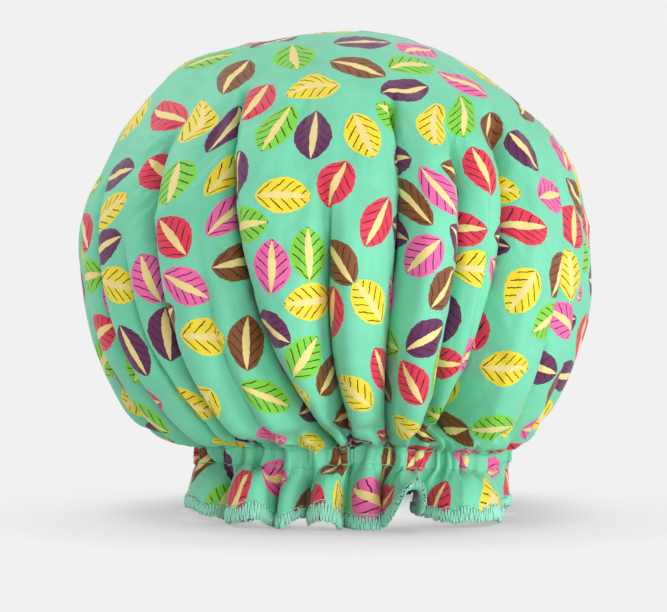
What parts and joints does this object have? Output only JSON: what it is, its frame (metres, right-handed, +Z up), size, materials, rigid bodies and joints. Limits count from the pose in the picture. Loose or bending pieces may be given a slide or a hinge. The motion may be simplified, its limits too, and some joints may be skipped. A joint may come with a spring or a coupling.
{
  "type": "shower cap",
  "caption": "Lined shower cap of gathered printed fabric with an elastic in a stitched channel and an overlocked ruffle, standing on its open ruffle.",
  "frame": {"origin": "on the floor, below the middle of the whole cap", "axes": "+Z up along the cap's axis, -Y towards the viewer of the picture, +X to that viewer's right"},
  "size_m": [0.2274, 0.2278, 0.2161],
  "materials": {
    "printed_fabric": "smooth woven print with a soft sheen",
    "lining_film": "thin milky film",
    "elastic": "woven covered elastic tape",
    "thread": "spun sewing thread",
    "overlock_thread": "loose textured overlock thread"
  },
  "bodies": {
    "root": {"outer_fabric": "printed_fabric", "waterproof_lining": "lining_film", "elastic_band": "elastic", "elastic_lap_stitch": "thread", "channel_needle_thread_upper": "thread", "channel_needle_thread_lower": "thread", "channel_bobbin_thread_upper": "thread", "channel_bobbin_thread_lower": "thread", "overlock_edging": "overlock_thread", "overlock_needle_thread": "overlock_thread"}
  },
  "joints": []
}
